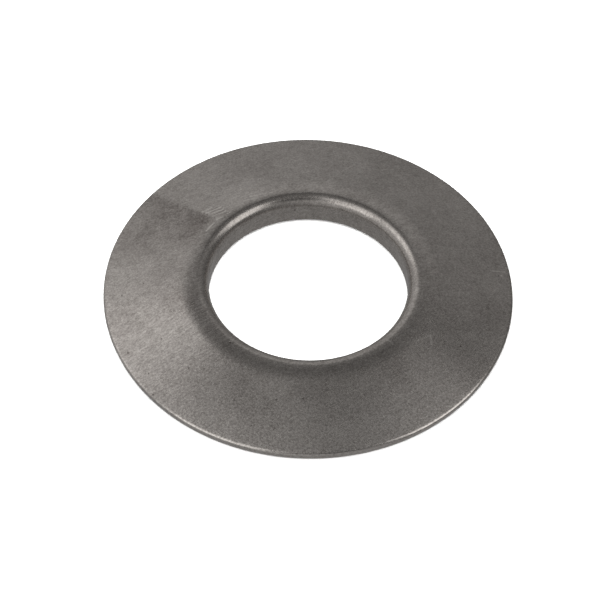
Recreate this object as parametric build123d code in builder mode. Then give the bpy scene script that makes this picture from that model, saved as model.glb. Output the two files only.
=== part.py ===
"""Dished thrust washer, pressed from one disc of sheet steel.

The disc is a shallow cone with its crown upwards. Around the bore the sheet turns level,
rolls over through a right angle and ends in a short collar that guides the shaft. The rim
was sheared square to the sheet, so its face leans in slightly towards the bottom, and the
die drew its upper edge down into a soft round.

The frame has +Z up the axis of the bore, and its origin on that axis in the plane that
the rim stands on. Lengths are in millimetres and angles in degrees.
"""

import os
from math import cos, radians, sin, tan

from build123d import *

# Driving dimensions
outer_diameter = 50.0  # over the widest point of the rim
bore_diameter = 24.3  # inside the collar, for a 24 mm shaft
sheet_thickness = 1.0
cone_angle = 15.5  # slope of the dished face
shoulder_radius = 9.0  # top face, where the cone turns level towards the bore
bend_radius = 0.5  # inside of the tight roll into the collar
collar_clearance = 0.2  # from the plane the rim stands on up to the collar's end
die_roll_radius = 0.6  # top face at the rim, drawn down by the die
die_roll_angle = 21.5  # turned by the die roll, from the cone to the worn corner
rim_corner_width = 0.18  # corner that tumbling has worn off, along the sheet
rim_corner_depth = 0.26  # the same corner, through the sheet
rim_foot_break = 0.1  # lower edge of the rim
bore_mouth_break = 0.25  # lower edge of the bore
collar_edge_break = 0.15  # outer edge of the collar's end

# Directions on the cone: outwards along the sheet, and upwards square to it
slope = radians(cone_angle)
outwards = Vector(cos(slope), -sin(slope))
upwards = Vector(sin(slope), cos(slope))

# Rim: the top of its sheared face is the widest point, and its broken foot touches zero
die_roll_depth = die_roll_radius * (1 - cos(radians(die_roll_angle)))
face_length = sheet_thickness - die_roll_depth - rim_corner_depth
face_top_height = face_length * cos(slope) - rim_foot_break * sin(slope)
face_top = Vector(outer_diameter / 2, face_top_height)
rim_foot = face_top - upwards * face_length
die_roll_end = face_top - outwards * rim_corner_width + upwards * rim_corner_depth
die_roll_centre = die_roll_end - upwards.rotate(Axis.Z, -die_roll_angle) * die_roll_radius
cone_foot = die_roll_centre + upwards * die_roll_radius

# Crest: the circle where the top face is level, between the shoulder and the roll
bore_radius = bore_diameter / 2
roll_radius = bend_radius + sheet_thickness
crest_radius = bore_radius + roll_radius
cone_head_radius = crest_radius + shoulder_radius * sin(slope)
cone_head_height = cone_foot.Y + (cone_foot.X - cone_head_radius) * tan(slope)
cone_head = Vector(cone_head_radius, cone_head_height)
crest_height = cone_head_height + shoulder_radius * (1 - cos(slope))

# Washer: half of its section, turned about the axis of the bore
with BuildPart() as thrust_washer:
    with BuildSketch(Plane.XZ) as section:
        with BuildLine():
            bore_wall = Line((bore_radius, collar_clearance), (bore_radius, crest_height - roll_radius))
            roll = JernArc(bore_wall @ 1, bore_wall % 1, roll_radius, -90)
            shoulder = JernArc(roll @ 1, roll % 1, shoulder_radius, -cone_angle)
            cone = Line(shoulder @ 1, cone_foot)
            JernArc(cone @ 1, cone % 1, die_roll_radius, -die_roll_angle)
            Polyline(die_roll_end, face_top, rim_foot)
            underside = Line(rim_foot, cone_head - upwards * sheet_thickness)
            shoulder_back = JernArc(
                underside @ 1, underside % 1, shoulder_radius - sheet_thickness, cone_angle
            )
            roll_back = JernArc(shoulder_back @ 1, shoulder_back % 1, bend_radius, 90)
            collar_back = Line(roll_back @ 1, (bore_radius + sheet_thickness, collar_clearance))
            Line(collar_back @ 1, bore_wall @ 0)
        make_face()
        for corner, edge_break in (
            (rim_foot, rim_foot_break),
            (bore_wall @ 0, bore_mouth_break),
            (collar_back @ 1, collar_edge_break),
        ):
            chamfer(section.vertices().sort_by_distance(corner)[0], edge_break)
    revolve(axis=Axis.Z)

thrust_washer.part.label = "thrust_washer"

os.makedirs("parts", exist_ok=True)
export_step(thrust_washer.part, "parts/thrust_washer.step")
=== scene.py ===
"""Dished thrust washer of bare pressed steel, on a pale studio floor.

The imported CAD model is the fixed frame. One finely spun piece with the same section
replaces its only node, so that reflections run smoothly over the crest and the rim.
Lengths are in metres and angles in radians, unless a comment says otherwise.
"""

from math import cos, pi, radians, sin

import bmesh
import bpy
from bpy.props import FloatProperty, FloatVectorProperty, IntProperty, PointerProperty
from mathutils import Matrix, Quaternion, Vector


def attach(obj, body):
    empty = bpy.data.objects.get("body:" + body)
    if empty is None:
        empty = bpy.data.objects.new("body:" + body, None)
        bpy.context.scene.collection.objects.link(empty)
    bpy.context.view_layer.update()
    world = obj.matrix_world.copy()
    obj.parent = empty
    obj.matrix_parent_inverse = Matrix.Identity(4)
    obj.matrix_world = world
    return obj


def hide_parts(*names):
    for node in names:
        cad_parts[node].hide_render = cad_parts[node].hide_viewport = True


bl_info = {
    "name": "Dished Thrust Washer",
    "version": (1, 0, 0),
    "blender": (4, 5, 0),
    "location": "3D View > Sidebar > Washer",
    "description": "A thrust washer pressed from steel sheet, with a rolled crest around its bore",
    "category": "Add Mesh",
}

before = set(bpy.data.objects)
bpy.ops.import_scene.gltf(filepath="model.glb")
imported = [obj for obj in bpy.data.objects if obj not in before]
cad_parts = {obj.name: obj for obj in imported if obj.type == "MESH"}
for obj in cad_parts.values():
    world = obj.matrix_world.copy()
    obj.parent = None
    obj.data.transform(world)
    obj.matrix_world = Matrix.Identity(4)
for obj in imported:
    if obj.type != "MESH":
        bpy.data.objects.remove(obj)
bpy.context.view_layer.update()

MM = 0.001
NODE = "thrust_washer"
MERGE_DISTANCE = 0.001 * MM

# Floor and backdrop
STUDIO_RADIUS = 3.0

# The point on the floor at the middle of the photograph's frame
CAMERA_AIM = Vector((-0.985, -0.58, 0)) * MM

# Radiance of the room, against the sine of the height above the horizon
ROOM_GLOW = (
    (0.0, 0.46),
    (0.34, 0.54),
    (0.60, 0.65),
    (0.725, 0.74),
    (0.79, 0.156),
    (0.87, 0.144),
    (0.91, 0.18),
    (0.95, 0.23),
    (0.985, 0.31),
    (1.0, 0.36),
)

# Share of that radiance from the left of the room to the right, above the horizon
ROOM_SIDES = ((0.3, 1.0), (0.7, 0.47), (0.93, 0.28))

# Softboxes: the direction of each from the washer, the direction that its top points in, its
# width and height as shares of its distance, and its share of the softboxes' radiance
SOFTBOXES = (
    ("softbox_right", (0.668, -0.132, 0.734), (-0.54, 0.60, 0.60), 0.56, 0.75, 0.86),
    ("softbox_left", (-0.450, -0.315, 0.839), (0.33, 0.72, 0.47), 0.60, 0.79, 0.60),
    ("softbox_far_left", (-0.615, 0.30, 0.73), (0.79, 0.36, 0.50), 0.46, 0.56, 0.46),
    ("softbox_overhead", (0.36, 0.30, 0.885), (-0.4, 0.9, -0.1), 0.30, 0.46, 0.085),
)

# Width and height of the light over the floor, as a share of its distance
WASH_WIDTH = 2.2

# Painted dark reflection on the top face, in degrees round the axis and in millimetres from it:
# where it starts, where it is full, where it begins to fade and where it has faded
DARK_REFLECTION_ROUND = (141.6, 143.2, 147.0, 170.0)
DARK_REFLECTION_OUTWARDS = (14.3, 15.6, 16.5, 22.0)
DARK_REFLECTION_LEFT_OUTSIDE = 0.45

# Coarse streaks on the top face: the place where they are strongest, how far from it they
# begin to fade and where they have faded, in millimetres, and the share left beyond
HATCH_CENTRE = (-16.5, -9.5)
HATCH_REACH = (4.0, 12.0)
HATCH_LEFT_OUTSIDE = 0.15

# Short scratches on the top face: start, end and width in millimetres, and strength
SCRATCHES = (
    ((-13.35, 10.49), (-12.21, 11.13), 0.15, 0.45),
    ((-12.92, 10.22), (-11.1, 11.03), 0.16, 0.7),
    ((-12.54, 9.9), (-10.71, 10.66), 0.16, 0.75),
    ((-12.09, 9.52), (-10.45, 10.28), 0.16, 0.65),
    ((-11.59, 9.19), (-9.83, 10.06), 0.15, 0.6),
    ((-11.45, 8.84), (-10.79, 9.26), 0.18, 0.7),
    ((-13.11, 10.14), (-11.47, 11.01), 0.14, -0.55),
    ((-12.66, 9.87), (-10.96, 10.68), 0.14, -0.7),
    ((-12.16, 9.53), (-10.58, 10.31), 0.14, -0.65),
    ((-11.71, 9.16), (-10.07, 10), 0.14, -0.55),
    ((-7.44, 12.78), (-4.73, 13.51), 0.2, 0.22),
    ((-8.16, 12.04), (-6.2, 12.77), 0.18, 0.2),
    ((-12.68, 6.95), (-11.79, 8.27), 0.16, 0.7),
    ((1.44, 14.97), (5.53, 20.13), 0.20, 0.15),
    ((22.52, 3.46), (24.02, 3.7), 0.15, 0.6),
    ((23.01, 2.94), (23.88, 3.01), 0.15, 0.4),
    ((13.31, -9.15), (14.82, -8.16), 0.20, 0.35),
    ((14.82, -8.16), (14.95, -9.38), 0.20, 0.35),
    ((9.69, -9.55), (10.24, -10.12), 0.20, 0.4),
)

# Patches on the top face with more or less film: centre and reach in millimetres, and strength
PATCHES = (
    ((-20.8, 6.0), 4.5, 0.24),
    ((-16.9, 1.0), 2.8, 0.12),
    ((-15.6, -3.3), 3.0, 0.16),
    ((-22.3, -5.8), 3.5, 0.10),
    ((-6.9, -16.6), 4.2, 0.22),
    ((-5.6, -20.6), 3.2, 0.16),
    ((-13.2, -16.2), 3.6, 0.10),
    ((10.2, -13.1), 4.0, 0.18),
    ((16.4, -2.8), 3.2, 0.10),
    ((21.9, -4.1), 3.6, 0.10),
    ((7.7, -20.2), 6.0, -0.18),
    ((0.6, -23.0), 5.0, -0.16),
    ((-15.0, -9.2), 4.0, -0.15),
    ((-7.6, 13.8), 4.2, -0.15),
)


def linear(hex_colour):
    """The linear RGB of an sRGB hex colour."""
    parts = [int(hex_colour[i : i + 2], 16) / 255 for i in (1, 3, 5)]
    return tuple(c / 12.92 if c <= 0.04045 else ((c + 0.055) / 1.055) ** 2.4 for c in parts)


def length(name, description, millimetres):
    """A length property, with its default in millimetres."""
    return FloatProperty(
        name=name, description=description, default=millimetres * MM, min=0, precision=5, unit="LENGTH"
    )


def angle(name, description, degrees):
    """An angle property, with its default in degrees."""
    return FloatProperty(name=name, description=description, default=radians(degrees), subtype="ANGLE")


def colour(name, description, hex_colour):
    """A colour property, with its default in sRGB hex."""
    return FloatVectorProperty(
        name=name, description=description, default=linear(hex_colour), min=0, max=1, subtype="COLOR"
    )


def number(name, description, value, top=1000.0):
    """A plain number property."""
    return FloatProperty(name=name, description=description, default=value, min=0, max=top)


class WasherSizes(bpy.types.PropertyGroup):
    """Sizes of the pressed sheet."""

    outer_diameter: length("Outer diameter", "Over the widest point of the rim", 50.0)
    bore_diameter: length("Bore diameter", "Inside the collar", 24.3)
    thickness: length("Sheet thickness", "Of the steel sheet", 1.0)
    cone_angle: angle("Cone angle", "Slope of the dished face", 15.5)
    shoulder_radius: length("Shoulder radius", "Where the cone turns level towards the bore", 9.0)
    bend_radius: length("Bend radius", "Inside of the roll into the collar", 0.5)
    collar_clearance: length("Collar clearance", "From the floor up to the collar's end", 0.2)
    die_roll_radius: length("Die roll radius", "Upper edge of the rim, drawn down by the die", 0.6)
    die_roll_angle: angle("Die roll angle", "How far the die roll turns", 21.5)
    rim_corner_radius: length("Rim corner radius", "Between the die roll and the sheared face", 0.28)
    rim_foot_radius: length("Rim foot radius", "Lower edge of the rim", 0.11)
    bore_mouth_radius: length("Bore mouth radius", "Lower edge of the bore", 0.25)
    collar_edge_radius: length("Collar edge radius", "Outer edge of the collar's end", 0.15)
    turns: IntProperty(name="Steps round", description="Faces round the axis", default=360, min=24, max=1024)


class SteelFinish(bpy.types.PropertyGroup):
    """Look of the bare steel."""

    steel: colour("Steel", "Cleanest tumbled steel", "#E0DAD4")
    film: colour("Film", "Where the grey film from tumbling is thickest", "#726A66")
    roughness: number("Roughness", "Of the tumbled face", 0.26, 1.0)
    grain: length("Grain", "Size of the tumbled grain", 0.24)
    mottle: length("Mottle", "Size of the smallest uneven patches", 0.9)
    clouds: length("Clouds", "Size of the widest uneven patches", 7.0)
    relief: length("Relief", "Depth of the grain and the streaks", 0.0020)
    streak_width: length("Streak width", "Across the rolling direction", 0.16)
    streak_length: length("Streak length", "Along the rolling direction", 2.4)
    rolling_direction: angle("Rolling direction", "Of the sheet, from the X axis", 30.0)
    pit_spacing: length("Pit spacing", "Between the small dark pits", 1.5)


class StudioLook(bpy.types.PropertyGroup):
    """Floor, lights and camera."""

    floor: colour("Floor", "Pale paper under the washer", "#F4F4F3")
    softbox: number("Softboxes", "Radiance of a softbox whose share is 1", 1.2)
    light_distance: length("Light distance", "From the washer to each light", 250.0)
    wash: number("Floor wash", "Radiance of the light that only the floor shows", 3.2)
    glow_start: length("Glow start", "Distance at which the paper begins to glow", 200.0)
    glow_full: length("Glow full", "Distance at which the paper glows fully", 450.0)
    camera_distance: length("Camera distance", "From the middle of the bore, on the floor", 450.0)
    camera_elevation: angle("Camera elevation", "Above the floor", 50.58)
    camera_roll: angle("Camera roll", "The photograph leans a little", 1.2355)
    lens: number("Lens", "Focal length for a 36 mm sensor", 220.64)


class SectionPen:
    """Draws the outline of the section in the XZ plane, one bmesh operator to a stroke."""

    def __init__(self, bm, start, heading):
        self.bm = bm
        self.tip = bm.verts.new(start)
        self.heading = Vector(heading)

    def straight(self, run, steps):
        for _ in range(steps):
            self.tip = bmesh.ops.extrude_vert_indiv(self.bm, verts=[self.tip])["verts"][0]
            bmesh.ops.translate(self.bm, verts=[self.tip], vec=self.heading * run / steps)

    def turn(self, radius, angle, steps):
        """A positive angle turns to the right of the heading."""
        side = Vector((self.heading.z, 0, -self.heading.x)) * (radius if angle > 0 else -radius)
        arc = bmesh.ops.spin(
            self.bm,
            geom=[self.tip],
            cent=self.tip.co + side,
            axis=(0, 1, 0),
            angle=angle,
            steps=steps,
            use_duplicate=False,
        )
        self.tip = arc["geom_last"][0]
        self.heading.rotate(Matrix.Rotation(angle, 3, "Y"))


def draw_section(bm, sizes):
    """The section of the pressed sheet, clockwise from the lower end of the bore wall.

    The last value of each stroke is its number of steps, more where it is seen most.
    """
    slope, quarter = sizes.cone_angle, pi / 2
    thickness, corner, foot = sizes.thickness, sizes.rim_corner_radius, sizes.rim_foot_radius
    mouth, edge = sizes.bore_mouth_radius, sizes.collar_edge_radius
    bore_radius = sizes.bore_diameter / 2
    roll_radius = sizes.bend_radius + thickness
    crest_radius = bore_radius + roll_radius

    # Along the sheet, from the head of the cone to the sheared face of the rim
    die_drop = sizes.die_roll_radius - (sizes.die_roll_radius - corner) * cos(sizes.die_roll_angle)
    die_run = (sizes.die_roll_radius - corner) * sin(sizes.die_roll_angle) + corner
    face = thickness - die_drop
    rim_foot_radius = sizes.outer_diameter / 2 - corner * (1 - cos(slope)) - face * sin(slope)
    head_radius = crest_radius + sizes.shoulder_radius * sin(slope)
    sheet_run = (rim_foot_radius + thickness * sin(slope) - head_radius) / cos(slope)

    # Up from the floor, which the rounded foot of the rim touches
    foot_height = -foot * (cos(slope) + sin(slope) - 1)
    crest_height = foot_height + thickness * cos(slope) + sheet_run * sin(slope)
    crest_height += sizes.shoulder_radius * (1 - cos(slope))
    wall_top = crest_height - roll_radius

    start = (bore_radius, 0, sizes.collar_clearance + mouth)
    pen = SectionPen(bm, start, (0, 0, 1))
    pen.straight(wall_top - start[2], 6)
    pen.turn(roll_radius, quarter, 28)
    pen.turn(sizes.shoulder_radius, slope, 14)
    pen.straight(sheet_run - die_run, 24)
    pen.turn(sizes.die_roll_radius, sizes.die_roll_angle, 8)
    pen.turn(corner, quarter - sizes.die_roll_angle, 8)
    pen.straight(face - foot, 5)
    pen.turn(foot, quarter, 4)
    pen.straight(sheet_run - foot, 16)
    pen.turn(sizes.shoulder_radius - thickness, -slope, 10)
    pen.turn(sizes.bend_radius, -quarter, 12)
    pen.straight(wall_top - sizes.collar_clearance - edge, 4)
    pen.turn(edge, quarter, 3)
    pen.straight(thickness - mouth - edge, 2)
    pen.turn(mouth, quarter, 5)


def add_node(tree, kind, inputs=(), **settings):
    """A node with its settings. Its inputs are listed in order, or by name in a dict.

    Each input is a value, a node to link, or one of a node's outputs.
    """
    node = tree.nodes.new(kind)
    for name, value in settings.items():
        setattr(node, name, value)
    for place, value in inputs.items() if isinstance(inputs, dict) else enumerate(inputs):
        if isinstance(value, bpy.types.Node):
            value = next(output for output in value.outputs if output.enabled)
        if isinstance(value, bpy.types.NodeSocket):
            tree.links.new(value, node.inputs[place])
        else:
            node.inputs[place].default_value = value
    return node


def tumbled_steel(finish):
    """Bare low-carbon steel sheet, pressed and tumbled.

    Gives the eye a satin warm grey with a fine peened grain, faint streaks along the
    rolling direction of the sheet, and uneven patches of the film that tumbling leaves.
    The real grain is about 0.1 mm across, too fine to show, so it is drawn coarser.
    """
    material = bpy.data.materials.new("tumbled_low_carbon_steel")
    material.use_nodes = True
    tree = material.node_tree
    tree.nodes.clear()

    def add(kind, inputs=(), **settings):
        return add_node(tree, kind, inputs, **settings)

    def unevenness(place, size):
        """An uneven field with features of one size, from 0 to 1."""
        inputs = {"Vector": place, "Scale": 1 / size, "Detail": 2.0, "Roughness": 0.6}
        return add("ShaderNodeMapRange", (add("ShaderNodeTexNoise", inputs), 0.3, 0.7))

    def streaks(width, run):
        """The same, drawn out along the rolling direction."""
        turned = add("ShaderNodeVectorRotate", {"Vector": place, "Angle": -finish.rolling_direction})
        drawn = add("ShaderNodeVectorMath", (turned, (width / run, 1, 1)), operation="MULTIPLY")
        return unevenness(drawn, width)

    def stacked(total, *layers):
        """A total, to which each layer adds its share."""
        for layer, share in layers:
            total = add("ShaderNodeMath", (layer, share, total), operation="MULTIPLY_ADD")
        return total

    coordinates = add("ShaderNodeTexCoord").outputs
    place = coordinates["Object"]
    parts = add("ShaderNodeSeparateXYZ", (place,)).outputs
    facing_up = add("ShaderNodeSeparateXYZ", (coordinates["Normal"],)).outputs["Z"]
    flat = add("ShaderNodeVectorMath", (place, (1 / MM, 1 / MM, 0)), operation="MULTIPLY")
    radius = add("ShaderNodeVectorMath", (flat,), operation="LENGTH").outputs["Value"]
    turn = add("ShaderNodeMath", (parts["Y"], parts["X"]), operation="ARCTAN2")

    # Top face, and the uneven hold that the painted dark reflection and the film have on it
    top = add("ShaderNodeMapRange", (facing_up, 0.0, 0.1))
    hold = add("ShaderNodeMapRange", (unevenness(place, 5 * finish.mottle), 0.0, 1.0, 0.55, 1.25))
    hold = add("ShaderNodeMath", (hold, top), operation="MULTIPLY")

    # Painted reflection: a dark wedge of film stands in for the reflection of something dark, with a sharp
    # radial edge, and fades out round and outwards
    painted_dark_reflection = hold
    for along, (start, full, fade, end), left in (
        (turn, [radians(degrees) for degrees in DARK_REFLECTION_ROUND], 0.0),
        (radius, DARK_REFLECTION_OUTWARDS, DARK_REFLECTION_LEFT_OUTSIDE),
    ):
        for reach in ((along, start, full), (along, fade, end, 1.0, left)):
            painted_dark_reflection = add("ShaderNodeMath", (painted_dark_reflection, add("ShaderNodeMapRange", reach)), operation="MULTIPLY")

    # Patches, where tumbling left more or less film
    patches = 0.0
    for centre, reach, strength in PATCHES:
        apart = add("ShaderNodeVectorMath", (flat, (*centre, 0)), operation="DISTANCE").outputs["Value"]
        patch = add("ShaderNodeMapRange", (apart, 0.1 * reach, reach, strength, 0.0))
        patches = add("ShaderNodeMath", (patch, patches))
    patches = add("ShaderNodeMath", (patches, hold), operation="MULTIPLY")

    # Edge: the die burnished the sheared face and its corner, which tilt away from level
    tilted = add("ShaderNodeMapRange", (facing_up, 0.94, 0.84))
    burnished = add("ShaderNodeMapRange", (radius, 24.0, 24.3, 0.0, tilted))

    # Scratches, each along a short line
    scratches = 0.0
    for start, end, width, strength in SCRATCHES:
        line = Vector((*end, 0)) - Vector((*start, 0))
        reach = add("ShaderNodeVectorMath", (flat, (*start, 0)), operation="SUBTRACT")
        share = add("ShaderNodeVectorMath", (reach, line / line.length_squared), operation="DOT_PRODUCT")
        share = add("ShaderNodeClamp", (share.outputs["Value"],))
        foot = add("ShaderNodeVectorMath", {0: line, "Scale": share}, operation="SCALE")
        apart = add("ShaderNodeVectorMath", (reach, foot), operation="DISTANCE").outputs["Value"]
        scratch = add("ShaderNodeMapRange", (apart, width / 4, width, strength, 0.0))
        scratches = add("ShaderNodeMath", (scratch, scratches))
    scratches = add("ShaderNodeMath", (scratches, top), operation="MULTIPLY")

    # Pattern of the sheet: grain, mottle and clouds, and streaks with a coarser hatch
    grain = unevenness(place, finish.grain)
    mottle = unevenness(place, finish.mottle)
    clouds = unevenness(place, finish.clouds)
    fine_streaks = streaks(finish.streak_width, finish.streak_length)
    apart = add("ShaderNodeVectorMath", (flat, (*HATCH_CENTRE, 0)), operation="DISTANCE").outputs["Value"]
    near_centre = add("ShaderNodeMapRange", (apart, *HATCH_REACH, 1.0, HATCH_LEFT_OUTSIDE))
    hatch = streaks(2 * finish.streak_width, finish.streak_length)
    hatch = add("ShaderNodeMath", (hatch, near_centre), operation="MULTIPLY")

    # Painted light: the front of the top face is painted lighter towards the rim, with less film, most where
    # its grain is clean already
    front_light_share = add("ShaderNodeMapRange", (parts["Y"], -10 * MM, -23 * MM, 0.0, top))
    painted_front_light = add("ShaderNodeMapRange", (grain, 0.0, 1.0, front_light_share, 0.0))

    # Pits: small dark dots, in half of the cells
    cells = add("ShaderNodeTexVoronoi", {"Vector": place, "Scale": 1 / finish.pit_spacing}).outputs
    pit_size = add("ShaderNodeMapRange", (cells["Color"], 0.5, 1.0, 0.0, 0.12))
    pits = add("ShaderNodeMath", (cells["Distance"], pit_size), operation="LESS_THAN")

    # Tone: how much film lies over the steel, half of it on average before the marks
    pattern = ((grain, 0.36), (mottle, 0.15), (clouds, 0.16), (fine_streaks, 0.14), (hatch, 0.22))
    # Marks: the painted dark reflection, the patches, the pits and the scratches
    marks = ((painted_dark_reflection, 0.40), (patches, 1.0), (pits, 0.5), (scratches, -0.65))
    # Less film: the painted light at the front, and the burnished edge
    painted_light_and_burnish = ((painted_front_light, -0.30), (burnished, -0.15))
    film = stacked(0.5 - sum(share for _, share in pattern) / 2, *pattern, *marks, *painted_light_and_burnish)
    inputs = {"Factor": film, "A": (*finish.steel, 1), "B": (*finish.film, 1)}
    tone = add("ShaderNodeMix", inputs, data_type="RGBA")

    # Relief, in multiples of its depth, and a tenth of it where the steel is burnished
    relief = stacked(0.0, (grain, 1.0), (fine_streaks, 0.6), (hatch, 3.0), (pits, -5.0), (scratches, 4.0))
    kept = add("ShaderNodeMapRange", (burnished, 0.0, 1.0, 1.0, 0.1))
    relief = add("ShaderNodeMath", (relief, kept), operation="MULTIPLY")
    bump = add("ShaderNodeBump", {"Height": relief, "Strength": 1.0, "Distance": finish.relief})

    # Roughness: a little uneven, and lower where the steel is burnished
    smoothest, roughest = finish.roughness - 0.015, finish.roughness + 0.015
    roughness = add("ShaderNodeMapRange", (mottle, 0.0, 1.0, smoothest, roughest))
    roughness = stacked(roughness, (burnished, -0.06))
    inputs = {"Base Color": tone, "Metallic": 1.0, "Roughness": roughness, "Normal": bump}
    steel = add("ShaderNodeBsdfPrincipled", inputs)
    add("ShaderNodeOutputMaterial", {"Surface": steel})
    return material


def matt_paper(look):
    """Pale matt paper.

    Gives the eye an even white: where the light over the floor grows weak, it glows a little.
    """
    material = bpy.data.materials.new("matt_paper")
    material.use_nodes = True
    tree = material.node_tree
    tree.nodes.clear()
    place = add_node(tree, "ShaderNodeTexCoord").outputs["Object"]
    reach = add_node(tree, "ShaderNodeVectorMath", (place,), operation="LENGTH").outputs["Value"]
    glow = add_node(tree, "ShaderNodeMapRange", (reach, look.glow_start, look.glow_full))
    tone = (*look.floor, 1)
    inputs = {"Base Color": tone, "Roughness": 0.9, "Emission Color": tone, "Emission Strength": glow}
    paper = add_node(tree, "ShaderNodeBsdfPrincipled", inputs)
    add_node(tree, "ShaderNodeOutputMaterial", {"Surface": paper})
    return material


def add_mesh_object(name, bm):
    """A mesh object at the origin from a finished bmesh, with smooth faces."""
    mesh = bpy.data.meshes.new(name)
    bm.to_mesh(mesh)
    bm.free()
    mesh.shade_smooth()
    piece = bpy.data.objects.new(name, mesh)
    bpy.context.scene.collection.objects.link(piece)
    return piece


class WASHER_OT_press(bpy.types.Operator):
    """Spin the section of the pressed sheet into the washer and give it its steel"""

    bl_idname = "washer.press"
    bl_label = "Press the Washer"

    def execute(self, context):
        sizes = context.scene.washer_sizes
        bm = bmesh.new()
        draw_section(bm, sizes)
        bmesh.ops.remove_doubles(bm, verts=bm.verts, dist=MERGE_DISTANCE)
        bmesh.ops.spin(
            bm,
            geom=bm.verts[:] + bm.edges[:],
            cent=(0, 0, 0),
            axis=(0, 0, 1),
            angle=2 * pi,
            steps=sizes.turns,
            use_merge=True,
            use_duplicate=False,
        )
        bmesh.ops.remove_doubles(bm, verts=bm.verts, dist=MERGE_DISTANCE)
        bmesh.ops.recalc_face_normals(bm, faces=bm.faces)
        washer = add_mesh_object("washer_pressing", bm)
        washer.data.materials.append(tumbled_steel(context.scene.washer_finish))
        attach(washer, "root")
        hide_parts(NODE)
        return {"FINISHED"}


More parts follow.
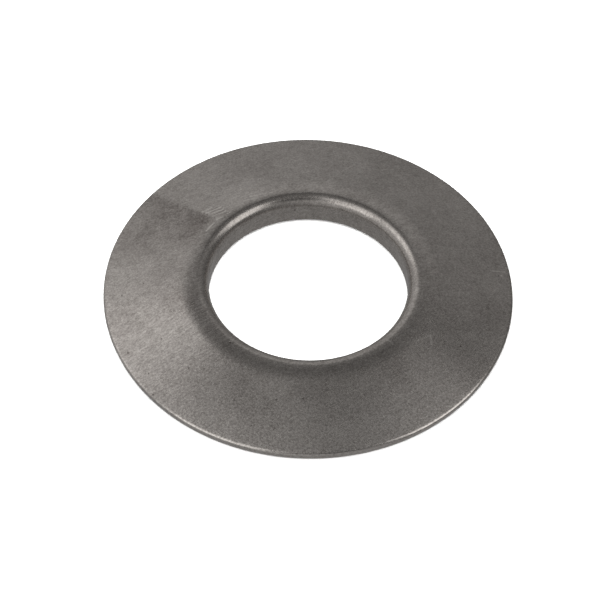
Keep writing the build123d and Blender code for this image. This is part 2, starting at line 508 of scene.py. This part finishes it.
class WASHER_OT_studio(bpy.types.Operator):
    """Lay the pale floor and set the soft lights and the camera"""

    bl_idname = "washer.studio"
    bl_label = "Set Up the Studio"

    def execute(self, context):
        look = context.scene.washer_studio
        self.lay_floor(look)
        self.light_room(context.scene)
        for name, towards, top, width, height, share in SOFTBOXES:
            size = width * look.light_distance, height * look.light_distance
            self.hang_light(context.scene, name, towards, top, size, share * look.softbox, look)
        size = WASH_WIDTH * look.light_distance, WASH_WIDTH * look.light_distance
        wash = self.hang_light(context.scene, "wash", (0, 0, 1), (0, 1, 0), size, look.wash, look)
        wash.visible_glossy = False
        self.place_camera(context.scene, look)
        context.scene.view_settings.view_transform = "Standard"
        return {"FINISHED"}

    def lay_floor(self, look):
        """The floor, and round it a backdrop that only the camera sees."""
        paper = matt_paper(look)
        bm = bmesh.new()
        bmesh.ops.create_circle(bm, cap_ends=True, radius=STUDIO_RADIUS, segments=96)
        floor = add_mesh_object("studio_floor", bm)
        floor.data.materials.append(paper)
        floor.visible_glossy = False
        bm = bmesh.new()
        bmesh.ops.create_uvsphere(bm, u_segments=48, v_segments=24, radius=STUDIO_RADIUS)
        backdrop = add_mesh_object("studio_backdrop", bm)
        backdrop.data.materials.append(paper)
        backdrop.visible_glossy = backdrop.visible_diffuse = backdrop.visible_shadow = False

    def light_room(self, scene):
        """The glow of the room, by height, and above the horizon by side too."""
        world = bpy.data.worlds.new("studio_room")
        scene.world = world
        world.use_nodes = True
        tree = world.node_tree
        tree.nodes.clear()
        towards = add_node(tree, "ShaderNodeTexCoord").outputs["Generated"]
        parts = add_node(tree, "ShaderNodeSeparateXYZ", (towards,)).outputs
        above = add_node(tree, "ShaderNodeMapRange", (parts["Z"], -0.1, 0.1))
        across = add_node(tree, "ShaderNodeMath", (parts["X"], above), operation="MULTIPLY")
        across = add_node(tree, "ShaderNodeMapRange", (across, -1.0, 1.0))
        height = add_node(tree, "ShaderNodeValToRGB", (parts["Z"],))
        side = add_node(tree, "ShaderNodeValToRGB", (across,))
        for ramp, stops in ((height.color_ramp, ROOM_GLOW), (side.color_ramp, ROOM_SIDES)):
            while len(ramp.elements) < len(stops):
                ramp.elements.new(1.0)
            for element, (place, value) in zip(ramp.elements, stops):
                element.position, element.color = place, (value, value, value, 1)
        glow = add_node(tree, "ShaderNodeMath", (height, side), operation="MULTIPLY")
        background = add_node(tree, "ShaderNodeBackground", {"Strength": glow})
        add_node(tree, "ShaderNodeOutputWorld", {"Surface": background})

    def hang_light(self, scene, name, towards, top, size, radiance, look):
        """An even rectangle of light that faces the washer, hidden from the camera."""
        light = bpy.data.lights.new(name, "AREA")
        light.shape = "RECTANGLE"
        light.size, light.size_y = size
        light.energy = radiance * light.size * light.size_y * pi
        lamp = bpy.data.objects.new(name, light)
        scene.collection.objects.link(lamp)
        back = Vector(towards).normalized()
        across = Vector(top).cross(back).normalized()
        facing = Matrix((across, back.cross(across), back)).transposed().to_4x4()
        lamp.matrix_world = Matrix.Translation(back * look.light_distance) @ facing
        lamp.visible_camera = False
        return lamp

    def place_camera(self, scene, look):
        data = bpy.data.cameras.new("camera")
        data.lens = look.lens
        data.sensor_width = 36.0
        camera = bpy.data.objects.new("camera", data)
        scene.collection.objects.link(camera)
        tilt = look.camera_elevation
        camera.location = Vector((0, -cos(tilt), sin(tilt))) * look.camera_distance
        facing = (CAMERA_AIM - camera.location).to_track_quat("-Z", "Y")
        camera.rotation_mode = "QUATERNION"
        camera.rotation_quaternion = facing @ Quaternion((0, 0, 1), look.camera_roll)
        data.clip_start, data.clip_end = 0.01, 20.0
        scene.camera = camera


class WASHER_PT_panel(bpy.types.Panel):
    """Sizes, finish and studio of the washer"""

    bl_label = "Thrust Washer"
    bl_idname = "WASHER_PT_panel"
    bl_space_type = "VIEW_3D"
    bl_region_type = "UI"
    bl_category = "Washer"

    def draw(self, context):
        scene = context.scene
        for title, group, operator in (
            ("Washer", scene.washer_sizes, None),
            ("Steel", scene.washer_finish, WASHER_OT_press),
            ("Studio", scene.washer_studio, WASHER_OT_studio),
        ):
            box = self.layout.box()
            box.label(text=title)
            for name in group.__annotations__:
                box.prop(group, name)
            if operator:
                box.operator(operator.bl_idname)


CLASSES = (WasherSizes, SteelFinish, StudioLook, WASHER_OT_press, WASHER_OT_studio, WASHER_PT_panel)


def register():
    for cls in CLASSES:
        bpy.utils.register_class(cls)
    bpy.types.Scene.washer_sizes = PointerProperty(type=WasherSizes)
    bpy.types.Scene.washer_finish = PointerProperty(type=SteelFinish)
    bpy.types.Scene.washer_studio = PointerProperty(type=StudioLook)


def unregister():
    del bpy.types.Scene.washer_studio
    del bpy.types.Scene.washer_finish
    del bpy.types.Scene.washer_sizes
    for cls in reversed(CLASSES):
        bpy.utils.unregister_class(cls)


def main():
    register()
    bpy.ops.washer.press()
    bpy.ops.washer.studio()


if __name__ == "__main__":
    main()
